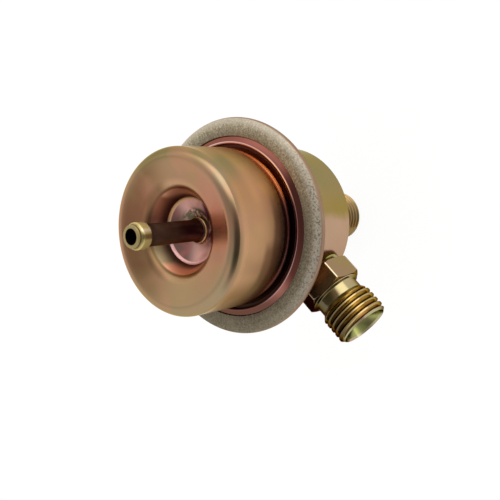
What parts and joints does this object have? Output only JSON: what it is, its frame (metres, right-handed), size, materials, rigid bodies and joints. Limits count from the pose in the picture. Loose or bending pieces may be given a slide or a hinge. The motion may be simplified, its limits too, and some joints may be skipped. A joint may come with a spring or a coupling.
{
  "type": "fuel pressure regulator",
  "caption": "Round diaphragm fuel pressure regulator in plated steel: drawn cap with a recessed vacuum nipple, rolled flange ring, side inlet port and rear outlet port.",
  "frame": {"origin": "on the outlet port's axis, in the plane of its hexagon's shoulder, where the thread starts", "axes": "+Z along the main axis toward the vacuum nipple, +X along the inlet port"},
  "size_m": [0.0642, 0.054, 0.0841],
  "materials": {
    "body_plating": "gloss yellow zinc plating",
    "ring_plating": "matt yellow zinc plating",
    "cap_plating": "satin yellow zinc plating",
    "nipple_plating": "gloss yellow zinc plating",
    "fitting_plating": "gloss yellow zinc plating",
    "spring_steel": "oiled spring steel",
    "plain_steel": "plain steel",
    "hard_steel": "ground steel",
    "rubber": "fabric-reinforced rubber"
  },
  "bodies": {
    "housing": {"body": "body_plating", "crimp_ring": "ring_plating", "upper_housing": "cap_plating", "vacuum_nipple": "nipple_plating", "inlet_fitting": "fitting_plating", "outlet_fitting": "fitting_plating", "return_tube": "plain_steel", "valve_seat": "hard_steel", "main_spring": "spring_steel", "diaphragm": "rubber"},
    "valve_carrier": {"spring_cup": "plain_steel", "lower_plate": "plain_steel", "valve_holder": "plain_steel", "plate_keeper": "plain_steel"},
    "swivel_ball": {"valve_ball": "hard_steel"},
    "seat_plate": {"valve_plate": "hard_steel"}
  },
  "joints": [
    {"name": "valve_lift", "type": "slide", "parent": "housing", "child": "valve_carrier", "axis": [0, 0, 1], "range_m": [0, 0.0008], "stiffness_N_per_m": 4100, "deforming": ["main_spring", "diaphragm"]},
    {"name": "ball_swivel", "type": "hinge", "parent": "valve_carrier", "child": "swivel_ball", "pos_m": [0, 0, 0.02535], "axis": [1, 0, 0], "range_deg": [-1, 1]},
    {"name": "plate_swivel", "type": "hinge", "parent": "swivel_ball", "child": "seat_plate", "pos_m": [0, 0, 0.02535], "axis": [0, 1, 0], "range_deg": [-1, 1]}
  ]
}
